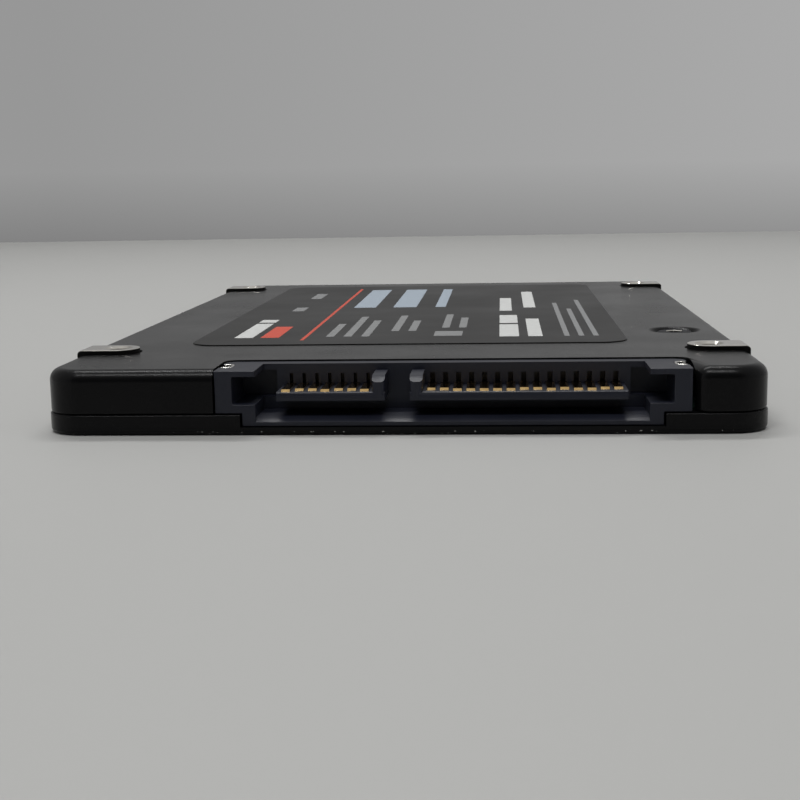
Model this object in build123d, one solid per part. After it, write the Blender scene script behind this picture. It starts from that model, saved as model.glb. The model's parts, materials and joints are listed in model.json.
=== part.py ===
from build123d import *
import os

# A 2.5 inch solid state drive in the 7 mm height class, label side up.
# Millimetres. Origin under the middle of the lower cover, +Z up, connector at the -Y end.

# Drive envelope
drive_width = 69.85
drive_length = 100.0
drive_height = 6.8  # resting face to the brackets' mounting plane
plan_radius = 3.9
least_radius = 0.4  # smallest plan corner of an inset outline

# Upper case
wall = 1.2
top_plate = 1.0
case_setback = 0.1  # the upper case stands this far inside the lower cover
top_edge_radius = 1.2
bracket_proud = 0.45  # the brackets stand this far above the top plate

# Lower cover
cover_height = 2.0
floor_plate = 0.8
bottom_edge_chamfer = 0.5
split_gap = 0.1
split_chamfer = 0.15
lip_gap = 0.1
lip_thickness = 0.7
lip_height = 0.9

# Mounting holes and their folded brackets
hole_from_front = 14.0
hole_from_rear = 9.4
hole_from_side = 4.065
side_hole_drop = 3.0  # side holes below the mounting plane
thread_radius = 1.25
bracket_sheet = 0.7
bracket_width = 4.4
bracket_set_in = 0.2  # outer faces of the brackets inside the drive's sides
bend_radius = 0.9
collar_wall = 0.35  # metal between the thread and the flats of the collar
collar_sides = 6
collar_depth = 2.5  # thread depth below the mounting plane
side_collar_depth = 2.3
flange_margin = 0.2
flange_corner = 0.8
bracket_fit = 0.05
pocket_gap = 0.25  # open round the edge of a bracket

# Case screws
screw_right_from_side = 5.575
screw_right_from_front = 29.7
screw_left_from_side = 13.425
screw_left_from_front = 58.0
screw_rear_from_side = 16.925
screw_rear_from_rear = 12.0
screw_shank_radius = 1.0
screw_head_radius = 1.95
screw_head_height = 0.8
screw_engagement = 1.9
screw_tip_room = 0.4
thread_fit = 0.04
screw_fit = 0.1
socket_radius = 0.75
socket_sides = 6
socket_depth = 0.35
dimple_rim = 0.8  # the open dimple is this much wider than the head's room
dimple_depth = 0.45
head_seat_depth = 1.1
boss_joint_height = 3.4  # plane where the upper and lower bosses meet
boss_wall = 0.7  # metal round the head's room
cover_boss_wall = 1.25  # metal round the thread
boss_sides = 8

# Connector blades with their keys
contact_pitch = 1.27
signal_order = "LSSLSSL"  # long and short contacts from left to right
power_order = "SSLLLLLSSLSLLSS"
blade_end_margin = 0.82  # last contact to the plain end of a blade
blade_key_margin = 1.97  # last contact to the keyed end of a blade
blade_gap = 2.41
blade_rise = 1.05  # above the board
blade_thickness = 0.9
blade_recess = 0.5
blade_chamfer = 0.3
blade_under_chamfer = 0.15
key_width = 1.2
key_rise = 1.5
key_front_rise = 0.95
key_ramp = 1.2

# Connector housing, built outwards from the blades
connector_from_side = 30.125  # its middle, from the right side of the drive
connector_recess = 0.3
wing_sink = 0.15  # below the top plate's outer face
housing_depth = 6.6
housing_corner = 1.2
mouth_end_gap = 1.955
mouth_chamfer = 0.45
lower_wall = 1.35
lower_clearance = 0.04
lower_floor = 0.86
guide_reach = 2.25
guide_rise = 0.85
guide_wall = 0.6
wing_wall = 1.675
wing_roof = 0.57
back_wall = 1.6
back_wall_margin = 0.605
ledge_margin = 0.9
ledge_depth = 0.7
ledge_clearance = 0.3
notch_gap_left = 0.14
notch_gap_right = 0.42
notch_gap_rear = 0.2
notch_flare = 1.2
cut_over = 1.0  # cutting tools run this far past the faces that they cut

# Contacts
contact_width = 0.84
contact_thickness = 0.3
contact_proud = 0.2
contact_fit = 0.03
long_tip = 0.4  # tips of the long contacts behind the blade's front edge
short_tip = 0.9
nose_chamfer = 0.2
tail_gap = 0.25
tail_foot = 1.1
tail_bend = 0.15
slot_rise = 1.2
slot_depth = 0.9
signal_slot = 0.35
power_slot = 0.5

# Hold-downs in the wings
hold_from_face = 3.6
hold_width = 2.2
hold_reach = 1.25
hold_sheet = 0.25
hold_sink = 0.12
hold_inset = 0.12
hold_bevel = 0.5
hold_tail = 0.25
hold_fit = 0.04

# Circuit board
board_standoff = 0.5
board_thickness = 0.8
board_edge_gap = 0.5
board_rear_margin = 3.0  # past the flash packages
board_corner = 1.8
board_fit = 0.2
clamp_size = 2.6
clamp_right_from_edge = 2.3
clamp_right_from_front = 8.0
clamp_left_from_edge = 5.3
clamp_left_from_front = 10.5
clamp_rear_from_edge = 4.3
clamp_rear_from_rear = 3.5

# Chips: width, length and height. The near row is memory and controller, the far row is flash
controller_size = (14.0, 14.0, 1.2)
memory_size = (10.0, 11.5, 1.0)
flash_size = (18.0, 14.0, 1.1)
regulator_size = (4.0, 4.0, 0.8)
crystal_size = (3.2, 2.5, 0.8)
chip_edge = 0.08
near_row_from_front = 18.5
row_gap = 2.5
controller_from_connector = -1.95
memory_gap = 5.5
flash_from_middle = -13.5  # middle of the left one
flash_gap = 4.5
crystal_gap = 3.9

# Thermal path to the case
platform_margin = 1.5
platform_height = 0.75
pad_inset = 0.8

# Small parts in rows on the board: width, length and height
inductor_size = (3.0, 2.6, 1.2)
inductor_count = 3
inductor_pitch = 3.6
inductor_from_side = 11.425
capacitor_size = (0.8, 1.6, 0.8)
capacitor_count = 12
capacitor_pitch = 2.6
resistor_size = (0.5, 1.0, 0.35)
resistor_count = 8
resistor_pitch = 1.6
first_row_from_tails = 3.9
second_row_step = 3.0

# Label
label_from_left = 10.375
label_from_right = 11.675
label_from_front = 18.5
label_from_rear = 7.0
label_radius = 3.0
label_thickness = 0.1

# Levels and planes worked out from the sizes above
front = -drive_length / 2
rear = drive_length / 2
side = drive_width / 2
case_top = drive_height - bracket_proud
plate_under = case_top - top_plate
case_bottom = cover_height + split_gap
board_bottom = floor_plate + board_standoff
board_top = board_bottom + board_thickness
lip_outer = case_setback + wall + lip_gap
lip_inner = lip_outer + lip_thickness
board_half = side - lip_inner - board_edge_gap
board_front = front + lip_inner + board_edge_gap

hole_x = side - hole_from_side
bracket_side = side - bracket_set_in
bracket_rows = {"front": front + hole_from_front, "rear": rear - hole_from_rear}
side_hole_z = drive_height - side_hole_drop
side_axis = Pos(0, 0, side_hole_z) * Rot(0, 90, 0)  # turns a piece along +Z to run out of the right side
collar_flat = thread_radius + collar_wall
collar_corner = collar_flat * 1.155  # a hexagon's corners lie this much further out
flange_foot = side_hole_z - thread_radius - flange_margin

head_room = screw_head_radius + screw_fit
head_seat = case_top - head_seat_depth
screw_tip = boss_joint_height - screw_engagement
boss_flat = head_room + boss_wall
cover_boss_flat = screw_shank_radius + thread_fit + cover_boss_wall
open_screw = (side - screw_right_from_side, front + screw_right_from_front)
covered_screws = [
    (screw_left_from_side - side, front + screw_left_from_front),
    (side - screw_rear_from_side, rear - screw_rear_from_rear),
]
screw_spots = [open_screw] + covered_screws

signal_blade = blade_end_margin + (len(signal_order) - 1) * contact_pitch + blade_key_margin
power_blade = blade_key_margin + (len(power_order) - 1) * contact_pitch + blade_end_margin
blades_half = (signal_blade + blade_gap + power_blade) / 2
connector_x = side - connector_from_side
signal_left = connector_x - blades_half
signal_right = signal_left + signal_blade
power_left = signal_right + blade_gap
power_right = power_left + power_blade
mouth_half = blades_half + mouth_end_gap
lower_half = mouth_half + lower_wall
guide_half = mouth_half + guide_reach
wing_half = guide_half + wing_wall
wing_left = connector_x - wing_half
wing_right = connector_x + wing_half

face_y = front + connector_recess
housing_rear = face_y + housing_depth
ledge_rear = housing_rear + ledge_depth
mouth_back = housing_rear - back_wall
tail_end = ledge_rear + tail_gap + contact_thickness + tail_foot
wing_top = case_top - wing_sink
lower_bottom = floor_plate + lower_clearance
mouth_floor = lower_bottom + lower_floor
blade_face = face_y + blade_recess
blade_bottom = board_top + blade_rise
blade_top = blade_bottom + blade_thickness
contact_top = blade_top + contact_proud
contact_bottom = contact_top - contact_thickness

near_row = front + near_row_from_front
far_row = near_row + max(controller_size[1], memory_size[1]) + row_gap
board_rear = far_row + flash_size[1] + board_rear_margin
controller_x = connector_x + controller_from_connector
memory_x = controller_x - controller_size[0] / 2 - memory_gap - memory_size[0] / 2
flash_left_x = flash_from_middle
flash_right_x = flash_left_x + flash_size[0] + flash_gap
flash_right_edge = flash_right_x + flash_size[0] / 2
regulator_x = (flash_right_edge + board_half) / 2  # midway to the board's edge
crystal_x = controller_x + controller_size[0] / 2 + crystal_gap + crystal_size[0] / 2
first_row = tail_end + first_row_from_tails
second_row = first_row + second_row_step
platform_under = plate_under - platform_height

clamp_spots = [
    (board_half - clamp_right_from_edge, front + clamp_right_from_front),
    (clamp_left_from_edge - board_half, front + clamp_left_from_front),
    (board_half - clamp_rear_from_edge, board_rear - clamp_rear_from_rear),
    (clamp_rear_from_edge - board_half, board_rear - clamp_rear_from_rear),
]


def outline(inset):
    radius = max(plan_radius - inset, least_radius)
    return RectangleRounded(drive_width - 2 * inset, drive_length - 2 * inset, radius)


def prism(face, bottom, top):
    return Pos(0, 0, bottom) * extrude(face, top - bottom)


def block(left, right, near, far, bottom, top):
    middle = Pos((left + right) / 2, (near + far) / 2, (bottom + top) / 2)
    return middle * Box(right - left, far - near, top - bottom)


def post(x, y, radius, bottom, top):
    return Pos(x, y, (bottom + top) / 2) * Cylinder(radius, top - bottom)


def boss(x, y, flat, bottom, top):
    # An octagonal boss, flat being the distance from its axis to each side
    return Pos(x, y, 0) * prism(RegularPolygon(flat, boss_sides, major_radius=False), bottom, top)


def peg(x, y, bottom, top):
    half = clamp_size / 2
    return block(x - half, x + half, y - half, y + half, bottom, top)


def rectangle(left, right, near, far):
    return make_face(Polyline((left, near), (right, near), (right, far), (left, far), close=True))


def along_x(section, left, right):
    # A face drawn with Y across and Z up, run from left to right
    return Pos(left, 0, 0) * extrude(Plane.YZ * section, right - left)


def corner(face, x, y):
    return face.vertices().sort_by_distance((x, y, 0))[0]


# Brackets

def folded_section(reach, foot):
    # The bracket's L section with X across and Z up, its outer faces moved out by reach
    skin_x = bracket_side - bracket_sheet
    skin_z = drive_height - bracket_sheet
    tip = hole_x - bracket_width
    outer = drive_height + reach
    return make_face(Polyline(
        (tip, outer), (bracket_side + reach, outer), (bracket_side + reach, foot),
        (skin_x, foot), (skin_x, skin_z), (tip, skin_z), close=True,
    ))


def tongue_plan(grow):
    # Straight sides from the outer edge inwards, with a round tip about the hole
    half = bracket_width / 2 + grow
    tip = Pos(hole_x, 0) * Circle(half)
    return tip + rectangle(hole_x, side + cut_over, -half, half)


def run_across(section, half):
    return extrude(Plane.XZ * section, half, both=True)


def collar(start, end, place):
    # A hexagonal clinch collar behind the sheet, corners towards the front and rear
    hexagon = RegularPolygon(collar_flat, collar_sides, major_radius=False, rotation=90)
    return place * prism(hexagon, start, end)


def bracket():
    section = folded_section(0, flange_foot)
    section = fillet(corner(section, bracket_side, drive_height), bend_radius)
    sheet = run_across(section, bracket_width / 2) & prism(tongue_plan(0), 0, drive_height)
    feet = sheet.edges().filter_by(Axis.X).group_by(Axis.Z)[0]
    sheet = chamfer(feet, flange_corner)
    collar_foot = drive_height - collar_depth
    collar_end = bracket_side - side_collar_depth
    sheet += collar(collar_foot, drive_height - bracket_sheet, Pos(hole_x, 0, 0))
    sheet += collar(collar_end, bracket_side - bracket_sheet, side_axis)
    sheet -= post(hole_x, 0, thread_radius, collar_foot, drive_height)
    return sheet - side_axis * post(0, 0, thread_radius, collar_end, bracket_side)


def bracket_seat():
    # What the case gives up for one bracket: a shallow pocket and a window for each collar
    foot = min(case_bottom, flange_foot) - cut_over
    plan = prism(tongue_plan(pocket_gap), foot, drive_height + cut_over)
    pocket = run_across(folded_section(cut_over, foot), bracket_width / 2 + pocket_gap) & plan
    across = collar_flat + bracket_fit
    along = collar_corner + bracket_fit
    window = block(-across, across, -along, along, -max(collar_depth, side_collar_depth), 0)
    return pocket + Pos(hole_x, 0, drive_height) * window + side_axis * Pos(0, 0, bracket_side) * window


def bracket_room():
    # What the lower cover gives up for one bracket
    half = bracket_width / 2 + split_gap
    foot = min(flange_foot, side_hole_z - collar_flat) - split_gap
    inner = bracket_side - side_collar_depth - split_gap
    return block(inner, side + cut_over, -half, half, foot, drive_height)


def at_corners(shape):
    left = mirror(shape, about=Plane.YZ)
    placed = {}
    for row, y in bracket_rows.items():
        placed[row + "_left"] = Pos(0, y, 0) * left
        placed[row + "_right"] = Pos(0, y, 0) * shape
    return placed


# Case

def connector_notch():
    left = wing_left - notch_gap_left
    right = wing_right + notch_gap_right
    far = housing_rear + notch_gap_rear
    plan = rectangle(left, right, front - cut_over, far)
    plan = fillet([corner(plan, left, far), corner(plan, right, far)], housing_corner)
    case_front = front + case_setback
    flare_x = right + notch_flare
    flare_y = case_front + notch_flare
    flare = rectangle(right, flare_x, case_front, flare_y) - Pos(flare_x, flare_y) * Circle(notch_flare)
    return prism(plan + flare, case_bottom - cut_over, case_top + cut_over)


def screw_hole(x, y):
    hole = post(x, y, screw_shank_radius + screw_fit, boss_joint_height, head_seat)
    return hole + post(x, y, head_room, head_seat, case_top)


def dimple(x, y):
    middle = Pos(x, y, case_top - dimple_depth / 2)
    return middle * Cone(head_room, head_room + dimple_rim, dimple_depth)


def heat_platform():
    # Stands down from the top plate over all the chips that have a pad
    left = min(memory_x - memory_size[0] / 2, flash_left_x - flash_size[0] / 2) - platform_margin
    right = max(controller_x + controller_size[0] / 2, flash_right_edge) + platform_margin
    far = far_row + flash_size[1] + platform_margin
    return block(left, right, near_row - platform_margin, far, platform_under, plate_under)


def upper_case():
    shell = prism(outline(case_setback), case_bottom, case_top)
    shell = fillet(shell.faces().sort_by(Axis.Z)[-1].edges(), top_edge_radius)
    shell = chamfer(shell.faces().sort_by(Axis.Z)[0].edges(), split_chamfer)
    shell -= prism(outline(case_setback + wall), case_bottom, plate_under)
    shell += heat_platform()
    for x, y in clamp_spots:
        shell += peg(x, y, board_top, plate_under)
    for x, y in screw_spots:
        shell += boss(x, y, boss_flat, boss_joint_height, plate_under)
        shell -= screw_hole(x, y)
    shell -= dimple(*open_screw)
    for seat in at_corners(bracket_seat()).values():
        shell -= seat
    return shell - connector_notch()


def lower_cover():
    rim = cover_height + lip_height
    pan = prism(outline(0), 0, cover_height)
    pan = chamfer(pan.faces().sort_by(Axis.Z)[0].edges(), bottom_edge_chamfer)
    pan = chamfer(pan.faces().sort_by(Axis.Z)[-1].edges(), split_chamfer)
    pan += prism(outline(lip_outer), floor_plate, rim)
    pan -= prism(outline(lip_inner), floor_plate, rim)
    for x, y in clamp_spots:
        pan += peg(x, y, floor_plate, board_bottom)
    for x, y in screw_spots:
        pan += boss(x, y, cover_boss_flat, floor_plate, boss_joint_height)
        pan -= post(x, y, screw_shank_radius + thread_fit, screw_tip - screw_tip_room, boss_joint_height)
    near = front - cut_over
    far = housing_rear + board_fit
    half = lower_half + notch_gap_left
    pan -= block(connector_x - half, connector_x + half, near, far, floor_plate, rim)
    sill = min(cover_height, board_top - split_gap)
    pan -= block(wing_left - notch_gap_left, wing_right + notch_gap_right, near, far, sill, rim)
    for room in at_corners(bracket_room()).values():
        pan -= room
    return pan


def screw(x, y):
    head_top = head_seat + screw_head_height
    body = post(x, y, screw_head_radius, head_seat, head_top)
    body += post(x, y, screw_shank_radius, screw_tip, head_seat)
    socket = prism(RegularPolygon(socket_radius, socket_sides), head_top - socket_depth, head_top)
    return body - Pos(x, y, 0) * socket


# Connector

def blade(left, right):
    section = make_face(Polyline(
        (blade_face, blade_bottom + blade_under_chamfer), (blade_face, blade_top - blade_chamfer),
        (blade_face + blade_chamfer, blade_top), (housing_rear, blade_top),
        (housing_rear, blade_bottom), (blade_face + blade_under_chamfer, blade_bottom), close=True,
    ))
    return along_x(section, left, right)


def key(left):
    top = blade_top + key_rise
    section = make_face(Polyline(
        (blade_face, blade_bottom + blade_under_chamfer), (blade_face, blade_top + key_front_rise),
        (blade_face + key_ramp, top), (housing_rear, top),
        (housing_rear, blade_bottom), (blade_face + blade_under_chamfer, blade_bottom), close=True,
    ))
    return along_x(section, left, left + key_width)


def contact_rows():
    # Each contact's place, whether it is a long one, and the width of its slot
    rows = []
    for number, reach in enumerate(signal_order):
        x = signal_left + blade_end_margin + number * contact_pitch
        rows.append((x, reach == "L", signal_slot))
    for number, reach in enumerate(power_order):
        x = power_left + blade_key_margin + number * contact_pitch
        rows.append((x, reach == "L", power_slot))
    return rows


def tip_of(is_long):
    return blade_face + (long_tip if is_long else short_tip)


def contact(x, is_long):
    # Lies in its channel on the blade, drops behind the ledge and ends in a foot on the board
    tip = tip_of(is_long)
    drop = ledge_rear + tail_gap
    back = drop + contact_thickness
    foot_top = board_top + contact_thickness
    section = make_face(Polyline(
        (tip, contact_top), (back, contact_top), (back, foot_top), (tail_end, foot_top),
        (tail_end, board_top), (drop, board_top), (drop, contact_bottom), (tip, contact_bottom), close=True,
    ))
    section = chamfer(corner(section, tip, contact_top), nose_chamfer)
    bends = [corner(section, back, contact_top), corner(section, drop, board_top)]
    section = chamfer(bends, tail_bend)
    return along_x(section, x - contact_width / 2, x + contact_width / 2)


def hold_down_plan(grow, sheet, end):
    # A strip folded to a U, open towards the outer side of the wing at +X. No sheet gives its whole outline
    half = hold_width / 2 + grow
    inner = wing_half - hold_reach - grow
    strip = rectangle(inner, end, -half, half)
    strip = chamfer([corner(strip, inner, -half), corner(strip, inner, half)], hold_bevel)
    if sheet:
        arm = half - sheet
        core = rectangle(inner + sheet, end, -arm, arm)
        inside = [corner(core, inner + sheet, -arm), corner(core, inner + sheet, arm)]
        strip -= chamfer(inside, hold_bevel - sheet / 2)
    return strip


def at_wings(shape):
    place = Pos(connector_x, face_y + hold_from_face, 0)
    return place * mirror(shape, about=Plane.YZ), place * shape


def connector_housing():
    middle = connector_x
    body = block(wing_left, wing_right, face_y, housing_rear, board_top, wing_top)
    body = fillet(body.edges().filter_by(Axis.Z).group_by(Axis.Y)[-1], housing_corner)
    body += block(middle - lower_half, middle + lower_half, face_y, housing_rear, lower_bottom, board_top)
    ledge_half = blades_half + ledge_margin
    ledge_top = min(wing_top, plate_under) - ledge_clearance
    body += block(middle - ledge_half, middle + ledge_half, housing_rear, ledge_rear, board_top, ledge_top)
    near = face_y - cut_over
    guide_back = housing_rear - guide_wall
    guide_low = board_top + guide_rise
    guide_high = wing_top - wing_roof
    body -= block(middle - guide_half, middle + guide_half, near, guide_back, guide_low, guide_high)
    body -= block(middle - mouth_half, middle + mouth_half, near, mouth_back, mouth_floor, wing_top)
    wall_half = blades_half + back_wall_margin
    body += block(middle - wall_half, middle + wall_half, mouth_back, housing_rear, mouth_floor, wing_top)
    lead_in = make_face(Polyline(
        (face_y, mouth_floor), (face_y, mouth_floor - mouth_chamfer), (face_y + mouth_chamfer, mouth_floor),
        close=True,
    ))
    body -= along_x(lead_in, middle - mouth_half, middle + mouth_half)
    body += blade(signal_left, signal_right) + blade(power_left, power_right)
    body += key(signal_right - key_width) + key(power_left)
    half = contact_width / 2 + contact_fit
    channel_top = contact_top + contact_fit
    slot_back = mouth_back + slot_depth
    for x, is_long, slot in contact_rows():
        start = tip_of(is_long) - contact_fit
        body -= block(x - half, x + half, start, ledge_rear, contact_bottom, channel_top)
        body -= block(x - slot / 2, x + slot / 2, mouth_back, slot_back, channel_top, blade_top + slot_rise)
    slot_plan = hold_down_plan(hold_fit, 0, wing_half + cut_over)
    for room in at_wings(prism(slot_plan, board_top, wing_top)):
        body -= room
    return body


def hold_downs():
    plan = hold_down_plan(0, hold_sheet, wing_half - hold_inset)
    return at_wings(prism(plan, board_bottom - hold_tail, wing_top - hold_sink))


# Board and what it carries

def circuit_board():
    plan = rectangle(-board_half, board_half, board_front, board_rear)
    plan = chamfer(plan.vertices(), board_corner)
    board = prism(plan, board_bottom, board_top)
    half = lower_half + board_fit
    far = housing_rear + board_fit
    board -= block(connector_x - half, connector_x + half, front, far, board_bottom, board_top)
    x, y = open_screw
    room = cover_boss_flat + board_edge_gap
    board -= block(x - room, side, y - room, y + room, board_bottom, board_top)
    hole_plan = hold_down_plan(board_fit, 0, wing_half + board_fit)
    for hole in at_wings(prism(hole_plan, board_bottom, board_top)):
        board -= hole
    return board


def chip(size, x, near):
    width, length, height = size
    body = Pos(x, near + length / 2, board_top + height / 2) * Box(width, length, height)
    return chamfer(body.faces().sort_by(Axis.Z)[-1].edges(), chip_edge)


def thermal_pad(size, x, near):
    # Fills the space between a chip and the platform of the case
    width, length, height = size
    bottom = board_top + height
    pad = Box(width - 2 * pad_inset, length - 2 * pad_inset, platform_under - bottom)
    return Pos(x, near + length / 2, (bottom + platform_under) / 2) * pad


def row_of(size, x, y, count, across, along):
    # Blocks on the board, each one step of across and along from the last
    row = []
    for number in range(count):
        place = Pos(x + number * across, y + number * along, board_top + size[2] / 2)
        row.append(place * Box(*size))
    return Compound(children=row)


def label():
    left = label_from_left - side
    right = side - label_from_right
    film = rectangle(left, right, front + label_from_front, rear - label_from_rear)
    return prism(fillet(film.vertices(), label_radius), case_top, case_top + label_thickness)


# Every node of the drive

contacts = [contact(x, is_long) for x, is_long, slot in contact_rows()]
left_hold, right_hold = hold_downs()
inductor_x = side - inductor_from_side
nodes = {
    "upper_case": upper_case(),
    "lower_cover": lower_cover(),
    "case_screws": Compound(children=[screw(x, y) for x, y in screw_spots]),
    "connector_housing": connector_housing(),
    "signal_contacts": Compound(children=contacts[:len(signal_order)]),
    "power_contacts": Compound(children=contacts[len(signal_order):]),
    "hold_down_left": left_hold,
    "hold_down_right": right_hold,
    "circuit_board": circuit_board(),
    "controller": chip(controller_size, controller_x, near_row),
    "memory_chip": chip(memory_size, memory_x, near_row),
    "flash_package_left": chip(flash_size, flash_left_x, far_row),
    "flash_package_right": chip(flash_size, flash_right_x, far_row),
    "thermal_pad_controller": thermal_pad(controller_size, controller_x, near_row),
    "thermal_pad_memory": thermal_pad(memory_size, memory_x, near_row),
    "thermal_pad_flash_left": thermal_pad(flash_size, flash_left_x, far_row),
    "thermal_pad_flash_right": thermal_pad(flash_size, flash_right_x, far_row),
    "power_regulator": chip(regulator_size, regulator_x, far_row),
    "crystal": chip(crystal_size, crystal_x, near_row),
    "inductors": row_of(inductor_size, inductor_x, first_row, inductor_count, 0, inductor_pitch),
    "capacitors": row_of(capacitor_size, signal_left, first_row, capacitor_count, capacitor_pitch, 0),
    "resistors": row_of(resistor_size, signal_left, second_row, resistor_count, resistor_pitch, 0),
    "label": label(),
}
for place, shape in at_corners(bracket()).items():
    nodes["mount_bracket_" + place] = shape

os.makedirs("parts", exist_ok=True)
for name, shape in nodes.items():
    export_step(shape, f"parts/{name}.step")
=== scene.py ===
import json
import math

import bmesh
import bpy
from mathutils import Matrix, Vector


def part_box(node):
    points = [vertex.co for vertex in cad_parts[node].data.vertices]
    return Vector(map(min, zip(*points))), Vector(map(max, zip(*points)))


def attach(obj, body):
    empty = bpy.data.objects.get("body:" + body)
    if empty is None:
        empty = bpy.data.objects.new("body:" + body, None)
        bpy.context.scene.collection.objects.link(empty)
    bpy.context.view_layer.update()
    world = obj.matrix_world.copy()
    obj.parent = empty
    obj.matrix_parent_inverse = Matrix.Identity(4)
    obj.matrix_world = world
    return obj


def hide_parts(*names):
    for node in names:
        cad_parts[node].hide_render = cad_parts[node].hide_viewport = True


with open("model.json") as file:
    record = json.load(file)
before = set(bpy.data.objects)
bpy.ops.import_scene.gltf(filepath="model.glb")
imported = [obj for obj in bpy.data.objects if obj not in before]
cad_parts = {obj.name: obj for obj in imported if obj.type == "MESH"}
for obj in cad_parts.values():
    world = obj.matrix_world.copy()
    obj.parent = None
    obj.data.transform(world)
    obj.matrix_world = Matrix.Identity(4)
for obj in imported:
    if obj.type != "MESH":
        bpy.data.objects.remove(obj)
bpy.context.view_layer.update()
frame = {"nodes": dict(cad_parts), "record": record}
# sizes below are in millimetres: x across, y from the connector end to the rear, z up
mm = 0.001
past = 1.0  # how far a cutter reaches past what it cuts
wellPast = 2.0  # the same for a wide cutter
farX, farZ = 37.0, 9.0  # the cutters for brackets and clips end out here, clear of the drive
overlap = 0.2  # how far a block that is joined on reaches into its neighbour
tiny = 0.01  # keeps two faces from falling together
facing = 0.9  # a face with this much of an axis in its normal faces along it
steep = 0.5  # with less than this, it stands across the axis
print("frame loaded")


# Tools of the bench

def leaveEdit():
    if bpy.context.object and bpy.context.object.mode == "EDIT":
        bpy.ops.object.mode_set(mode="OBJECT")


def only(piece):
    leaveEdit()
    bpy.ops.object.select_all(action="DESELECT")
    piece.select_set(True)
    bpy.context.view_layer.objects.active = piece


def settle(piece, name):
    # its place goes into the mesh, so the object sits at the origin
    only(piece)
    piece.name = name
    bpy.ops.object.transform_apply(location=True, rotation=True, scale=True)
    return piece


def addBlock(name, low, high):
    leaveEdit()
    middle = [(a + b) / 2 * mm for a, b in zip(low, high)]
    size = [(b - a) * mm for a, b in zip(low, high)]
    bpy.ops.mesh.primitive_cube_add(size=1, location=middle, scale=size)
    return settle(bpy.context.object, name)


def addRod(name, radius, foot, head, sides=48):
    # a round bar or a prism between two points, along z or along x
    leaveEdit()
    foot = Vector(foot)
    head = Vector(head)
    tilt = math.pi / 2 if abs(head.x - foot.x) > abs(head.z - foot.z) else 0
    bpy.ops.mesh.primitive_cylinder_add(
        vertices=sides, radius=radius * mm, depth=(head - foot).length * mm,
        location=(foot + head) / 2 * mm, rotation=(0, tilt, 0))
    return settle(bpy.context.object, name)


def startPick(piece, kind):
    only(piece)
    bpy.ops.object.mode_set(mode="EDIT")
    bpy.ops.mesh.select_mode(type=kind)
    bpy.ops.mesh.select_all(action="DESELECT")
    return bmesh.from_edit_mesh(piece.data)


def pickEdges(piece, test, sharp=0):
    # sharp is the least angle, in radians, between the two faces of an edge
    net = startPick(piece, "EDGE")
    for edge in net.edges:
        a, b = (v.co / mm for v in edge.verts)
        if edge.calc_face_angle(math.pi) >= sharp and test(a, b):
            edge.select_set(True)
    bmesh.update_edit_mesh(piece.data)


def pickFaces(piece, test):
    net = startPick(piece, "FACE")
    for face in net.faces:
        if test(face.calc_center_median() / mm, face.normal):
            face.select_set(True)
    bmesh.update_edit_mesh(piece.data)


def roundEdges(piece, test, radius, steps, sharp=0):
    pickEdges(piece, test, sharp)
    bpy.ops.mesh.bevel(offset=radius * mm, segments=steps, affect="EDGES", clamp_overlap=False)
    leaveEdit()


def breakEdges(piece, width, steps):
    # a bevel on every edge that is sharper than 60 degrees
    only(piece)
    bpy.ops.object.modifier_add(type="BEVEL")
    edge = piece.modifiers[-1]
    edge.width = width * mm
    edge.segments = steps
    edge.limit_method = "ANGLE"
    edge.angle_limit = math.radians(60)
    bpy.ops.object.modifier_apply(modifier=edge.name)


def near(a, b, gap=0.002):
    return abs(a - b) < gap


def upright(a, b):
    return near(a.x, b.x) and near(a.y, b.y)


def level(a, b, z):
    return near(a.z, z) and near(b.z, z)


def bothAt(a, b, y):
    return near(a.y, y) and near(b.y, y)


def carve(piece, tool, how="DIFFERENCE"):
    only(piece)
    bpy.ops.object.modifier_add(type="BOOLEAN")
    change = piece.modifiers[-1]
    change.operation = how
    change.solver = "EXACT"
    change.object = tool
    bpy.ops.object.modifier_apply(modifier=change.name)
    bpy.data.objects.remove(tool)


def joinAll(pieces, name):
    only(pieces[0])
    for piece in pieces:
        piece.select_set(True)
    bpy.ops.object.join()
    pieces[0].name = name
    return pieces[0]


def turnOutward():
    # in edit mode: all normals of the mesh point outward
    bpy.ops.mesh.select_all(action="SELECT")
    bpy.ops.mesh.normals_make_consistent(inside=False)
    leaveEdit()


def copyOf(piece, name, shift=(0, 0, 0), flipX=False):
    only(piece)
    bpy.ops.object.duplicate()
    twin = bpy.context.object
    twin.location = [s * mm for s in shift]
    twin.scale.x = -1 if flipX else 1
    settle(twin, name)
    if flipX:  # a mirrored mesh is inside out
        bpy.ops.object.mode_set(mode="EDIT")
        turnOutward()
    return twin


def finishPiece(piece, finish, nodes=(), angle=35):
    weld = 0.0005 * mm
    only(piece)
    bpy.ops.object.mode_set(mode="EDIT")
    bpy.ops.mesh.select_all(action="SELECT")
    bpy.ops.mesh.remove_doubles(threshold=weld)
    bpy.ops.mesh.dissolve_degenerate(threshold=weld)
    bpy.ops.mesh.fill_holes(sides=4)  # slivers that a cut left open
    leaveEdit()
    bpy.ops.object.shade_smooth_by_angle(angle=math.radians(angle))
    bpy.ops.object.modifier_add(type="WEIGHTED_NORMAL")
    piece.modifiers[-1].keep_sharp = True
    bpy.ops.object.modifier_apply(modifier=piece.modifiers[-1].name)
    piece.data.materials.clear()
    piece.data.materials.append(finish)
    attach(piece, "root")
    for node in nodes:
        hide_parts(node)


def secondFinish(piece, finish, test):
    # another finish on the faces that pass the test
    piece.data.materials.append(finish)
    pickFaces(piece, test)
    piece.active_material_index = 1
    bpy.ops.object.material_slot_assign()
    leaveEdit()


# Finishes

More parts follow.
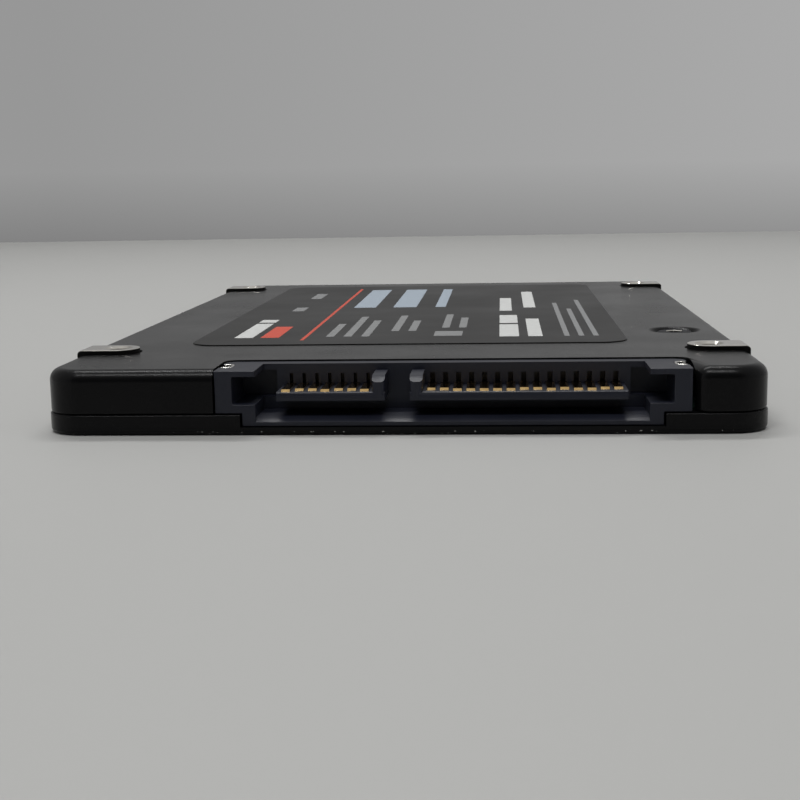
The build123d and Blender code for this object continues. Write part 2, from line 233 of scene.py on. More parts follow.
def linear(hexCode):
    parts = [int(hexCode[i:i + 2], 16) / 255 for i in (1, 3, 5)]
    return [p / 12.92 if p <= 0.04045 else ((p + 0.055) / 1.055) ** 2.4 for p in parts] + [1]


def addNode(tree, kind, settings=None, links=None):
    made = tree.nodes.new(kind)
    for key, value in (settings or {}).items():
        if isinstance(key, str) and hasattr(made, key):
            setattr(made, key, value)
        else:
            made.inputs[key].default_value = value
    for key, source in (links or {}).items():
        tree.links.new(source, made.inputs[key])
    return made


def perMetre(size):
    return 1 / (size * mm)  # texture scale for a grain of this many millimetres


def startFinish(name, settings):
    finish = bpy.data.materials.new(name)
    finish.use_nodes = True
    tree = finish.node_tree
    shader = tree.nodes["Principled BSDF"]
    for key, value in settings.items():
        shader.inputs[key].default_value = value
    place = addNode(tree, "ShaderNodeTexCoord").outputs["Object"]
    return finish, tree, shader, place


def mottle(tree, shader, place, look):
    # two close shades and two close roughnesses over a slow noise, and a bump from the grain
    cloud = addNode(tree, "ShaderNodeTexNoise", {"Scale": perMetre(look["cloud"]), "Detail": 3},
                    {"Vector": place}).outputs["Fac"]
    shade = addNode(tree, "ShaderNodeMix",
                    {"data_type": "RGBA", 6: linear(look["dark"]), 7: linear(look["light"])}, {0: cloud})
    gloss = addNode(tree, "ShaderNodeMapRange",
                    {"From Min": 0.3, "From Max": 0.7, "To Min": look["smooth"], "To Max": look["rough"]},
                    {"Value": cloud})
    grain = addNode(tree, "ShaderNodeTexNoise", {"Scale": perMetre(look["grain"]), "Detail": 2},
                    {"Vector": place})
    bump = addNode(tree, "ShaderNodeBump", {"Strength": look["bump"], "Distance": look["depth"] * mm},
                   {"Height": grain.outputs["Fac"]})
    tree.links.new(shade.outputs[2], shader.inputs["Base Color"])
    tree.links.new(gloss.outputs["Result"], shader.inputs["Roughness"])
    tree.links.new(bump.outputs["Normal"], shader.inputs["Normal"])
    return shade


def plainFinish(name, settings, look):
    finish, tree, shader, place = startFinish(name, settings)
    mottle(tree, shader, place, look)
    return finish


# Powder-fine black coating on aluminium: near black face on, a satin mirror at a low angle, with a grain that
# sparkles on the rounded edges. The grain is drawn coarser than the real powder, so that it shows
coatingLook = {
    "dark": "#09090a", "light": "#0e0e0f", "smooth": 0.22, "rough": 0.28, "cloud": 9.0,
    "grain": 0.13, "bump": 0.8, "depth": 0.016,
    "chip": 0.26, "chipShare": 0.79, "chipLow": 0.12, "chipHigh": 0.42, "bare": "#b4b4b1",
}
coating, tree, shader, place = startFinish("satinBlackCoating", {"IOR": 1.225})
shade = mottle(tree, shader, place, coatingLook)
# a few specks where the coating is knocked off near the bottom edge, down to bright metal
specks = addNode(tree, "ShaderNodeTexNoise", {"Scale": perMetre(coatingLook["chip"]), "Detail": 0},
                 {"Vector": place})
bare = addNode(tree, "ShaderNodeMath", {"operation": "GREATER_THAN", 1: coatingLook["chipShare"]},
               {0: specks.outputs["Fac"]})
height = addNode(tree, "ShaderNodeSeparateXYZ", {}, {"Vector": place}).outputs["Z"]
for kind, edge in (("GREATER_THAN", "chipLow"), ("LESS_THAN", "chipHigh")):
    band = addNode(tree, "ShaderNodeMath", {"operation": kind, 1: coatingLook[edge] * mm}, {0: height})
    bare = addNode(tree, "ShaderNodeMath", {"operation": "MULTIPLY"},
                   {0: bare.outputs[0], 1: band.outputs[0]})
worn = addNode(tree, "ShaderNodeMix", {"data_type": "RGBA", 7: linear(coatingLook["bare"])},
               {0: bare.outputs[0], 6: shade.outputs[2]})
tree.links.new(worn.outputs[2], shader.inputs["Base Color"])
tree.links.new(bare.outputs[0], shader.inputs["Metallic"])

# Nickel-plated steel sheet: bright, slightly warm, with a faint grain
plated = plainFinish("platedSteel", {"Metallic": 1}, {
    "dark": "#d2cec6", "light": "#e2dfd8", "smooth": 0.14, "rough": 0.2, "cloud": 1.6,
    "grain": 0.15, "bump": 0.04, "depth": 0.01})

# Painted shade on the edge faces of the sheet: near black and dull, standing in for their shade and dark
# reflection
paintedEdgeShade = plainFinish("paintedEdgeShade", {"IOR": 1.2}, {
    "dark": "#090909", "light": "#111110", "smooth": 0.4, "rough": 0.5, "cloud": 0.8,
    "grain": 0.12, "bump": 0.2, "depth": 0.01})

# Black oxide on steel: a dark, dull metal
blackOxide = plainFinish("blackOxideSteel", {"Metallic": 1}, {
    "dark": "#262628", "light": "#323235", "smooth": 0.55, "rough": 0.65, "cloud": 0.9,
    "grain": 0.12, "bump": 0.15, "depth": 0.01})

# Glass-filled nylon from a mould: dark blue grey, dull satin, with a faint spark-eroded texture
nylon = plainFinish("mouldedNylon", {"Specular IOR Level": 0.45}, {
    "dark": "#10131f", "light": "#151825", "smooth": 0.42, "rough": 0.5, "cloud": 4.0,
    "grain": 0.16, "bump": 0.12, "depth": 0.01})

# Gold flash over nickel: a shiny warm metal, a little paler in places
gold = plainFinish("goldPlate", {"Metallic": 1}, {
    "dark": "#d8b274", "light": "#eccb90", "smooth": 0.08, "rough": 0.12, "cloud": 0.6,
    "grain": 0.1, "bump": 0.02, "depth": 0.01})

# Tin over steel strip: white metal with a soft sheen
tinned = plainFinish("tinnedStrip", {"Metallic": 1}, {
    "dark": "#d0cec9", "light": "#e4e2dd", "smooth": 0.14, "rough": 0.24, "cloud": 0.7,
    "grain": 0.12, "bump": 0.06, "depth": 0.01})

# Laminated polyester label: black, a little warmer than the coating and with less grain
film = plainFinish("polyesterFilm", {"IOR": 1.18}, {
    "dark": "#0b0a09", "light": "#100f0e", "smooth": 0.30, "rough": 0.36, "cloud": 14.0,
    "grain": 0.3, "bump": 0.06, "depth": 0.01})

# Screen-printed inks: flat colours, thinner where the mesh of the screen showed through
inkLooks = {
    "inkWhite": ("#b9bab8", "#d3d4d2"),
    "inkRed": ("#b23a26", "#d04a30"),
    "inkSky": ("#8b97a3", "#a3aeb9"),
    "inkGrey": ("#6d6e6f", "#8a8b8b"),
}
inks = {}
for inkName, (thin, full) in inkLooks.items():
    inks[inkName] = plainFinish(inkName, {"Specular IOR Level": 0.35}, {
        "dark": thin, "light": full, "smooth": 0.42, "rough": 0.5, "cloud": 0.8,
        "grain": 0.2, "bump": 0.08, "depth": 0.01})

# Finishes of what is closed inside the case: name, metal or not, two shades, roughness, size of the mottling
innerLooks = {
    "board_laminate": ("solderMask", {}, ("#0b1f17", "#102a1f"), 0.3, 2.0),  # glossy dark green lacquer
    "chip_moulding": ("epoxyMoulding", {}, ("#1a1a1b", "#242425"), 0.55, 0.6),  # matt black with fine filler
    "thermal_rubber": ("filledSilicone", {}, ("#8b9096", "#a2a7ac"), 0.7, 1.2),  # soft grey, dull
    "ferrite": ("pressedFerrite", {}, ("#3c3c3e", "#4b4b4d"), 0.6, 0.4),  # dark grey powder, pressed
    "crystal_can": ("nickelLid", {"Metallic": 1}, ("#b5b1a6", "#c8c4ba"), 0.25, 0.8),  # bright drawn lid
    "capacitor_ceramic": ("firedBariumCeramic", {}, ("#7c5f41", "#957351"), 0.5, 0.3),  # tan, fired
    "resistor_ceramic": ("glazedResistor", {}, ("#151518", "#1f1f24"), 0.35, 0.3),  # black glaze
}
slotOf = {row["node"]: row["material_slot"] for row in frame["record"]["subparts"]}
innerFinishes = {}
roughSpread = 0.05  # either way
for slotName, (title, metal, (deep, pale), rough, cloud) in innerLooks.items():
    innerFinishes[slotName] = plainFinish(title, metal, {
        "dark": deep, "light": pale, "smooth": rough - roughSpread, "rough": rough + roughSpread,
        "cloud": cloud, "grain": 0.15, "bump": 0.1, "depth": 0.01})
for nodeName, node in frame["nodes"].items():
    if slotOf.get(nodeName) in innerFinishes:
        node.data.materials.clear()
        node.data.materials.append(innerFinishes[slotOf[nodeName]])
print("finishes made")


# Places that several pieces share
screwSpots = [(29.35, -20.3), (-21.5, 8.0), (18.0, 38.0)]  # the first is open, the others are under the label
clampSpots = [(30.025, -42.0), (-27.025, -39.5), (28.025, -1.5), (-28.025, -1.5)]
bracketRows = {"front": -36.0, "rear": 40.6}
bracketSides = {"left": -1, "right": 1}
plugLow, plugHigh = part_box("connector_housing")
connectorX = (plugLow.x + plugHigh.x) / 2 / mm  # the connector's sizes across are given from its own middle


def mirrored(side, low, high):
    # a block given for the right side, moved to the side asked for
    if side > 0:
        return low, high
    return (-high[0], *low[1:]), (-low[0], *high[1:])


# Upper case
upperCase = {
    "low": (-34.825, -49.9, 2.1), "high": (34.825, 49.9, 6.35),
    "cornerRound": 3.8, "cornerSteps": 14, "topRound": 1.2, "topSteps": 9,
    "footBevel": 0.15, "wall": 1.2, "plate": 1.0, "innerRound": 0.4,
    "notchLeft": -22.715, "notchRight": 22.995, "notchRear": -42.9, "notchRound": 1.2, "notchSteps": 6,
    "edgeBreak": 0.07,
    "platformLow": (-24.0, -33.0, 4.6), "platformHigh": (19.5, 0.5, 5.5),
    "bossFlat": 2.75, "bossFoot": 3.4, "clampHalf": 1.3, "clampFoot": 2.1,
    "headRoom": 2.05, "seat": 5.25, "shankRoom": 1.1,
    "dimpleRound": 2.9, "dimpleDepth": 0.75, "dimpleLip": 0.25, "dimpleReach": 3.65,
    "pocketTip": 28.41, "pocketSide": 34.025, "pocketHalf": 2.45, "pocketFloor": 6.1, "foldFoot": 1.0,
    "windowAcross": 1.65, "windowAlong": 1.9, "windowFoot": 4.0, "flankInner": 32.2,
    "holeX": 30.86, "sideHole": 3.8,
}


def makeUpperCase(c):
    x0, y0, z0 = c["low"]
    x1, y1, z1 = c["high"]
    nx0, nx1, ny = connectorX + c["notchLeft"], connectorX + c["notchRight"], c["notchRear"]
    slack = 0.1
    flare = y0 + c["notchRound"] + tiny  # the notch is straight behind this

    def acrossNotch(x, gap):
        return nx0 - gap < x < nx1 + gap

    def notchCorner(a, b):
        # its two rear corners and its right front corner are round, the left front one is sharp
        return upright(a, b) and acrossNotch(a.x, slack) and (near(a.y, ny) or (near(a.y, y0) and a.x > 0))

    def outerRim(a, b):
        # the top edge all round, without the notch
        inNotch = acrossNotch((a.x + b.x) / 2, tiny) and flare < max(a.y, b.y) < ny + tiny
        leftWall = near(a.x, nx0) and near(b.x, nx0)
        return level(a, b, z1) and not inNotch and not leftWall

    body = addBlock("upperCase", c["low"], c["high"])
    carve(body, addBlock("notch", (nx0, y0 - wellPast, z0 - past), (nx1, ny, z1 + wellPast)))
    roundEdges(body, lambda a, b: upright(a, b) and near(abs(a.x), x1) and near(abs(a.y), y1),
               c["cornerRound"], c["cornerSteps"])
    roundEdges(body, notchCorner, c["notchRound"], c["notchSteps"])
    roundEdges(body, outerRim, c["topRound"], c["topSteps"], sharp=1)
    roundEdges(body, lambda a, b: level(a, b, z0), c["footBevel"], steps=2, sharp=1)
    wall = c["wall"]
    underPlate = z1 - c["plate"]
    hollow = addBlock("hollow", (x0 + wall, y0 + wall, z0 - past), (x1 - wall, y1 - wall, underPlate))
    roundEdges(hollow, upright, c["cornerRound"] - wall, steps=10)
    roundEdges(hollow, lambda a, b: level(a, b, underPlate), c["innerRound"], steps=3, sharp=1)
    carve(body, hollow)
    carve(body, addBlock("platform", c["platformLow"], c["platformHigh"]), "UNION")
    half = c["clampHalf"]
    joined = underPlate + overlap
    for x, y in clampSpots:
        peg = addBlock("peg", (x - half, y - half, c["clampFoot"]), (x + half, y + half, joined))
        carve(body, peg, "UNION")
    for x, y in screwSpots:
        carve(body, addRod("boss", c["bossFlat"], (x, y, c["bossFoot"]), (x, y, joined)), "UNION")
        carve(body, addRod("shank", c["shankRoom"], (x, y, c["bossFoot"] - past), (x, y, z1 + past)))
        carve(body, addRod("head", c["headRoom"], (x, y, c["seat"]), (x, y, z1 + past)))
    # the open screw sits in a conical dimple with a soft lip
    x, y = screwSpots[0]
    leaveEdit()
    bpy.ops.mesh.primitive_cone_add(
        vertices=64, radius1=c["headRoom"] * mm, radius2=(2 * c["dimpleRound"] - c["headRoom"]) * mm,
        depth=2 * c["dimpleDepth"] * mm, location=(x * mm, y * mm, z1 * mm))
    carve(body, settle(bpy.context.object, "dimple"))
    roundEdges(body, lambda a, b: level(a, b, z1) and (a.xy - Vector((x, y))).length < c["dimpleReach"],
               c["dimpleLip"], steps=4, sharp=0.2)
    # a seat for each bracket: a shallow pocket with a round end, room for the fold, and a window for each nut
    wide, along, across = c["pocketHalf"], c["windowAlong"], c["windowAcross"]
    for row in bracketRows.values():
        for side in bracketSides.values():
            pocket = addBlock("pocket", *mirrored(
                side, (c["pocketTip"], row - wide, c["pocketFloor"]), (farX, row + wide, farZ)))
            roundEdges(pocket, lambda a, b: upright(a, b) and near(abs(a.x), c["pocketTip"]),
                       wide - tiny, steps=14)
            carve(body, pocket)
            foldRoom = (c["pocketSide"], row - wide, c["foldFoot"]), (farX, row + wide, farZ)
            topWindow = ((c["holeX"] - across, row - along, c["windowFoot"]),
                         (c["holeX"] + across, row + along, farZ))
            flankWindow = ((c["flankInner"], row - along, c["sideHole"] - across),
                           (farX, row + along, c["sideHole"] + across))
            for gap in (foldRoom, topWindow, flankWindow):
                carve(body, addBlock("gap", *mirrored(side, *gap)))
    # the cut edges of the top plate are broken, not sharp
    roundEdges(body, lambda a, b: level(a, b, z1) and acrossNotch(a.x, slack) and a.y < ny + slack and
               min(a.y, b.y) > flare, c["edgeBreak"], steps=2, sharp=1)
    return body


case = makeUpperCase(upperCase)
finishPiece(case, coating, ["upper_case"])
print("upper case made", len(case.data.polygons))


# Lower cover
lowerCover = {
    "low": (-34.925, -50.0, 0.0), "high": (34.925, 50.0, 2.0),
    "cornerRound": 3.9, "cornerSteps": 14, "bottomRound": 0.5, "topBevel": 0.15,
    "floor": 0.8, "lipOuter": 1.4, "lipInner": 2.1, "lipTop": 2.9,
    "bossFlat": 2.29, "bossTop": 3.4, "clampHalf": 1.3, "clampTop": 1.3,
    "threadRound": 1.04, "threadFoot": 1.1,
    "bodyCut": (-20.14, 20.14), "wingCut": (-22.715, 22.995), "cutRear": -42.9, "cutTop": 4.0,
    "roomInner": 32.325, "roomHalf": 2.3, "roomFoot": 2.1,
}


def makeLowerCover(c):
    x1, y1, z1 = c["high"]
    above = c["lipTop"] + past
    foot = c["floor"] - overlap
    pan = addBlock("lowerCover", c["low"], c["high"])
    roundEdges(pan, upright, c["cornerRound"], c["cornerSteps"])
    roundEdges(pan, lambda a, b: level(a, b, 0), c["bottomRound"], steps=5, sharp=1)
    roundEdges(pan, lambda a, b: level(a, b, z1), c["topBevel"], steps=3, sharp=1)
    for inset, how, top in ((c["lipOuter"], "UNION", c["lipTop"]), (c["lipInner"], "DIFFERENCE", above)):
        ring = addBlock("lip", (-x1 + inset, -y1 + inset, c["floor"]), (x1 - inset, y1 - inset, top))
        roundEdges(ring, upright, c["cornerRound"] - inset, steps=10)
        carve(pan, ring, how)
    half = c["clampHalf"]
    for x, y in clampSpots:
        peg = addBlock("peg", (x - half, y - half, foot), (x + half, y + half, c["clampTop"]))
        carve(pan, peg, "UNION")
    for x, y in screwSpots:
        carve(pan, addRod("boss", c["bossFlat"], (x, y, foot), (x, y, c["bossTop"])), "UNION")
        carve(pan, addRod("thread", c["threadRound"], (x, y, c["threadFoot"]), (x, y, c["bossTop"] + past)))
    for (left, right), sill in ((c["bodyCut"], c["floor"]), (c["wingCut"], z1)):
        low = (connectorX + left, -y1 - wellPast, sill)
        carve(pan, addBlock("sill", low, (connectorX + right, c["cutRear"], c["cutTop"])))
    for row in bracketRows.values():
        for side in bracketSides.values():
            low = (c["roomInner"], row - c["roomHalf"], c["roomFoot"])
            carve(pan, addBlock("room", *mirrored(side, low, (farX, row + c["roomHalf"], farZ))))
    return pan


cover = makeLowerCover(lowerCover)
finishPiece(cover, coating, ["lower_cover"])
print("lower cover made", len(cover.data.polygons))


# Mounting brackets
mountBracket = {
    "tip": 28.66, "side": 34.725, "top": 6.8, "foot": 2.35, "half": 2.2, "sheet": 0.7,
    "bend": 0.45, "footRound": 0.8, "edgeBreak": 0.04,
    "holeX": 30.86, "sideHole": 3.8,
    "thread": 1.25, "pitch": 0.5, "threadRise": 0.15, "mouth": 1.5, "sink": 0.24,
    "nut": 1.82, "nutFoot": 4.3, "sideNutEnd": 32.425,
}


def threadTap(c, depth):
    # half a section of a tapped and countersunk hole, spun round its axis to a cutter.
    # The hole's mouth is at z 0
    spare = 0.1
    slope = (c["mouth"] - c["thread"]) / c["sink"]
    z = -2 * c["sink"]
    teeth = [(0, spare), (c["mouth"] + spare * slope, spare), (c["thread"], -c["sink"]), (c["thread"], z)]
    while z - c["pitch"] > -depth:
        teeth += [(c["thread"] + c["threadRise"], z - c["pitch"] / 2), (c["thread"], z - c["pitch"])]
        z -= c["pitch"]
    teeth += [(c["thread"], -depth - spare), (0, -depth - spare)]
    leaveEdit()
    bpy.ops.mesh.primitive_circle_add(vertices=len(teeth), radius=1)
    ring = bpy.context.object
    for point, (r, z) in zip(ring.data.vertices, teeth):
        point.co = (r * mm, 0, z * mm)
    settle(ring, "tap")
    pickEdges(ring, lambda a, b: near(a.x, 0) and near(b.x, 0))
    bpy.ops.mesh.delete(type="EDGE")  # the axis itself makes no face
    bpy.ops.mesh.select_all(action="SELECT")
    bpy.ops.mesh.spin(steps=48, angle=2 * math.pi, center=(0, 0, 0), axis=(0, 0, 1))
    bpy.ops.mesh.select_all(action="SELECT")
    bpy.ops.mesh.remove_doubles(threshold=0.001 * mm)
    turnOutward()
    return ring


def makeBracket(c):
    fold = c["side"] - c["sheet"]
    under = c["top"] - c["sheet"]
    sheet = addBlock("mountBracket", (c["tip"], -c["half"], under), (fold, c["half"], c["top"]))
    pickFaces(sheet, lambda mid, normal: normal.x > facing)
    bpy.ops.mesh.extrude_region_move(TRANSFORM_OT_translate={"value": (c["sheet"] * mm, 0, 0)})
    pickFaces(sheet, lambda mid, normal: normal.z < -facing and mid.x > fold)
    bpy.ops.mesh.extrude_region_move(TRANSFORM_OT_translate={"value": (0, 0, (c["foot"] - under) * mm)})
    leaveEdit()
    roundEdges(sheet, lambda a, b: level(a, b, c["top"]) and near(a.x, c["side"]) and near(b.x, c["side"]),
               c["bend"], steps=6)
    roundEdges(sheet, lambda a, b: upright(a, b) and near(a.x, c["tip"]), c["half"] - tiny, steps=16)
    roundEdges(sheet, lambda a, b: level(a, b, c["foot"]) and near(a.y, b.y), c["footRound"], steps=6)
    breakEdges(sheet, c["edgeBreak"], steps=1)
    # a pressed-in hexagon nut behind each hole, both tapped from outside
    x, z = c["holeX"], c["sideHole"]
    carve(sheet, addRod("nut", c["nut"], (x, 0, c["nutFoot"]), (x, 0, under + overlap), sides=6), "UNION")
    carve(sheet, addRod("nut", c["nut"], (c["sideNutEnd"], 0, z), (fold + overlap, 0, z), sides=6), "UNION")
    for mouth, turn, depth in (((x, 0, c["top"]), 0, c["top"] - c["nutFoot"]),
                               ((c["side"], 0, z), math.pi / 2, c["side"] - c["sideNutEnd"])):
        tap = threadTap(c, depth)
        tap.rotation_euler.y = turn
        tap.location = [v * mm for v in mouth]
        carve(sheet, settle(tap, "tap"))
    return sheet


def onOutline(c, row, mid, normal):
    # true on the narrow faces where the sheet was sheared: its long sides, its round tip and its foot
    rim = c["half"] - c["edgeBreak"] - tiny
    across = mid.y - row
    toHole = abs(mid.x) - c["holeX"]
    tip = toHole < 0 and math.hypot(toHole, across) > rim
    foot = mid.z < c["foot"] + c["footRound"] and abs(normal.x) < steep
    return foot or (abs(normal.z) < steep and (tip or abs(across) > rim))


master = makeBracket(mountBracket)
for rowName, row in bracketRows.items():
    for sideName, side in bracketSides.items():
        title = f"mountBracket{rowName.title()}{sideName.title()}"
        bracket = copyOf(master, title, (0, row, 0), side < 0)
        finishPiece(bracket, plated, [f"mount_bracket_{rowName}_{sideName}"])
        # the edge faces take the painted shade finish, near black
        secondFinish(bracket, paintedEdgeShade, lambda mid, normal: onOutline(mountBracket, row, mid, normal))
bpy.data.objects.remove(master)
print("brackets made", len(bracket.data.polygons))


# Case screws
caseScrew = {
    "headRound": 1.95, "seat": 5.25, "headTop": 6.2, "rim": 0.2, "shank": 1.0, "tip": 1.5, "tipRound": 0.2,
    "socket": 1.0, "socketDepth": 0.35, "socketRim": 0.08,
}


def makeScrew(c):
    head = addRod("screw", c["headRound"], (0, 0, c["seat"]), (0, 0, c["headTop"]))
    roundEdges(head, lambda a, b: level(a, b, c["headTop"]), c["rim"], steps=4)
    pickFaces(head, lambda mid, normal: near(mid.z, c["seat"]) and normal.z < -facing)
    bpy.ops.mesh.inset(thickness=(c["headRound"] - c["shank"]) * mm)
    bpy.ops.mesh.extrude_region_move(TRANSFORM_OT_translate={"value": (0, 0, (c["tip"] - c["seat"]) * mm)})
    leaveEdit()
    roundEdges(head, lambda a, b: level(a, b, c["tip"]), c["tipRound"], steps=2)
    bottom = (0, 0, c["headTop"] - c["socketDepth"])
    carve(head, addRod("socket", c["socket"], bottom, (0, 0, c["headTop"] + past), sides=6))
    reach = c["socket"] + tiny
    roundEdges(head, lambda a, b: level(a, b, c["headTop"]) and max(a.xy.length, b.xy.length) < reach,
               c["socketRim"], steps=1, sharp=1)
    return head


def onSocketRim(c, mid, normal):
    reach = c["socket"] + c["socketRim"]
    return steep < normal.z < facing and any(math.hypot(mid.x - x, mid.y - y) < reach for x, y in screwSpots)


master = makeScrew(caseScrew)
screws = joinAll([copyOf(master, "screw", (x, y, 0)) for x, y in screwSpots], "caseScrews")
bpy.data.objects.remove(master)
finishPiece(screws, blackOxide, ["case_screws"])
# painted highlight: the rim of each socket is bright plated metal, so that it reads as lit
secondFinish(screws, plated, lambda mid, normal: onSocketRim(caseScrew, mid, normal))
print("screws made")


# Connector
housing = {
    "wingHalf": 22.575, "wingFoot": 2.1, "wingTop": 6.2, "face": -49.7, "rear": -43.1, "rearRound": 1.2,
    "bodyHalf": 20.0, "bodyFoot": 0.84, "ledgeHalf": 17.595, "ledgeRear": -42.4, "ledgeTop": 5.05,
    "guideHalf": 20.9, "guideFoot": 2.95, "guideTop": 5.63, "guideBack": -43.7, "guideRound": 0.18,
    "mouthHalf": 18.65, "mouthFloor": 1.7, "mouthBack": -44.7, "backHalf": 17.3, "backSeam": 0.1,
    "edgeBreak": 0.08, "leadIn": 0.45, "leadDepth": 0.72,
    "signalBlade": (-16.695, -6.285), "powerBlade": (-3.875, 16.695), "bladeRoot": 0.7,
    "bladeFace": -49.2, "bladeFoot": 3.15, "bladeTop": 4.05, "bladeChamfer": 0.3, "bladeUnder": 0.15,
    "keyWidth": 1.2, "keyTop": 5.55, "keyFront": 5.0, "keyRamp": 1.2, "keySide": 0.4, "keyRoot": 0.6,
    "channelEnd": 0.4, "slotTop": 5.25, "slotLift": 0.05, "slotFront": 0.5, "slotDepth": 0.9,
    "signalSlot": 0.35, "powerSlot": 0.5,
    "clipReach": 1.29, "clipHalf": 1.14, "clipY": -46.1, "clipFoot": 1.0, "clipCorner": 0.5,
}
contactStrip = {
    "pitch": 1.27, "signalFirst": -15.875, "powerFirst": -1.905,
    "signalOrder": "LSSLSSL", "powerOrder": "SSLLLLLSSLSLLSS",  # long and short ones from left to right
    "longTip": -48.8, "shortTip": -48.3, "width": 0.84, "thick": 0.3, "sheet": 0.2, "top": 4.25, "room": 0.03,
    "noseRound": 0.24, "noseGap": 0.02, "drop": -42.15, "tailEnd": -40.75, "foot": 2.1, "bend": 0.25,
    "edgeBreak": 0.035,
}


def contactPlaces(c):
    rows = []
    for group in ("signal", "power"):
        for number, reach in enumerate(c[group + "Order"]):
            x = connectorX + c[group + "First"] + number * c["pitch"]
            rows.append((group, x, c["longTip"] if reach == "L" else c["shortTip"]))
    return rows


def plugBlock(name, half, front, rear, foot, top):
    return addBlock(name, (connectorX - half, front, foot), (connectorX + half, rear, top))


def makeBlade(c, ends):
    left, right = (connectorX + end for end in ends)
    face = c["bladeFace"]
    root = c["mouthBack"] + c["bladeRoot"]
    blade = addBlock("blade", (left, face, c["bladeFoot"]), (right, root, c["bladeTop"]))
    for z, size, steps in ((c["bladeTop"], c["bladeChamfer"], 2), (c["bladeFoot"], c["bladeUnder"], 3)):
        roundEdges(blade, lambda a, b: bothAt(a, b, face) and level(a, b, z), size, steps)
    return blade


def makeKey(c, left):
    # a block with round front uprights, cut off along its ramp, a hair larger than the blade it joins
    left += connectorX
    face = c["bladeFace"] - tiny
    low = (left - tiny, face, c["bladeFoot"] + c["bladeUnder"] + 2 * tiny)
    key = addBlock("key", low, (left + c["keyWidth"] + tiny, c["mouthBack"] + c["keyRoot"], c["keyTop"]))
    roundEdges(key, lambda a, b: upright(a, b) and near(a.y, face), c["keySide"], steps=5)
    pickFaces(key, lambda mid, normal: True)
    bpy.ops.mesh.bisect(plane_co=(left * mm, face * mm, c["keyFront"] * mm),
                        plane_no=(0, c["keyFront"] - c["keyTop"], c["keyRamp"]),
                        use_fill=True, clear_outer=True)
    turnOutward()
    return key


def makeHousing(c, s):
    face, rear, top = c["face"], c["rear"], c["wingTop"]
    floor, back = c["mouthFloor"], c["mouthBack"]
    body = plugBlock("connectorHousing", c["wingHalf"], face, rear, c["wingFoot"], top)
    roundEdges(body, lambda a, b: upright(a, b) and near(a.y, rear), c["rearRound"], steps=6)
    carve(body, plugBlock("body", c["bodyHalf"], face, rear, c["bodyFoot"], c["wingFoot"] + overlap), "UNION")
    ledge = plugBlock("ledge", c["ledgeHalf"], rear - overlap, c["ledgeRear"], c["wingFoot"], c["ledgeTop"])
    carve(body, ledge, "UNION")
    guide = plugBlock("guide", c["guideHalf"], face - wellPast, c["guideBack"], c["guideFoot"], c["guideTop"])
    roundEdges(guide, lambda a, b: near(a.x, b.x) and near(a.z, b.z), c["guideRound"], steps=3)
    carve(body, guide)
    carve(body, plugBlock("mouth", c["mouthHalf"], face - wellPast, back, floor, top + wellPast))
    # the moulded edges round the opening are soft
    roundEdges(body, lambda a, b: bothAt(a, b, face), c["edgeBreak"], steps=3, sharp=1)
    # the lower lip slopes down to the front
    lipFoot, lipRear = floor - c["leadIn"], face + c["leadDepth"]
    wedge = plugBlock("leadIn", c["mouthHalf"], face - tiny, lipRear, lipFoot, floor + tiny)
    pickEdges(wedge, lambda a, b: bothAt(a, b, lipRear) and level(a, b, lipFoot))
    bpy.ops.transform.translate(value=(0, 0, c["leadIn"] * mm))
    leaveEdit()
    carve(body, wedge)
    seam = c["backSeam"]
    carve(body, plugBlock("backWall", c["backHalf"], back, rear - seam, floor - seam, top), "UNION")
    for ends in (c["signalBlade"], c["powerBlade"]):
        carve(body, makeBlade(c, ends), "UNION")
    for left in (c["signalBlade"][1] - c["keyWidth"], c["powerBlade"][0]):
        carve(body, makeKey(c, left), "UNION")
    # a channel for each contact along its blade and through the wall, and a slot above it
    half = s["width"] / 2 + s["room"]
    channels = []
    slots = []
    for group, x, tip in contactPlaces(s):
        low = (x - half, tip - s["room"], s["top"] - s["thick"])
        high = (x + half, c["ledgeRear"] + c["channelEnd"], s["top"] + s["room"])
        channels.append(addBlock("channel", low, high))
        wide = c[group + "Slot"] / 2
        low = (x - wide, back - c["slotFront"], c["bladeTop"] + c["slotLift"])
        slots.append(addBlock("slot", low, (x + wide, back + c["slotDepth"], c["slotTop"])))
    carve(body, joinAll(channels, "channels"))
    carve(body, joinAll(slots, "slots"))
    # a corner of each wing is cut away for its hold-down
    y, half = c["clipY"], c["clipHalf"]
    for side in bracketSides.values():
        inner = connectorX + side * (c["wingHalf"] - c["clipReach"])
        ends = sorted((inner, connectorX + side * (c["wingHalf"] + wellPast)))
        room = addBlock("clipRoom", (ends[0], y - half, c["clipFoot"]), (ends[1], y + half, farZ))
        roundEdges(room, lambda a, b: upright(a, b) and near(a.x, inner), c["clipCorner"], steps=3)
        carve(body, room)
    return body


plug = makeHousing(housing, contactStrip)
finishPiece(plug, nylon, ["connector_housing"])
print("housing made", len(plug.data.polygons))


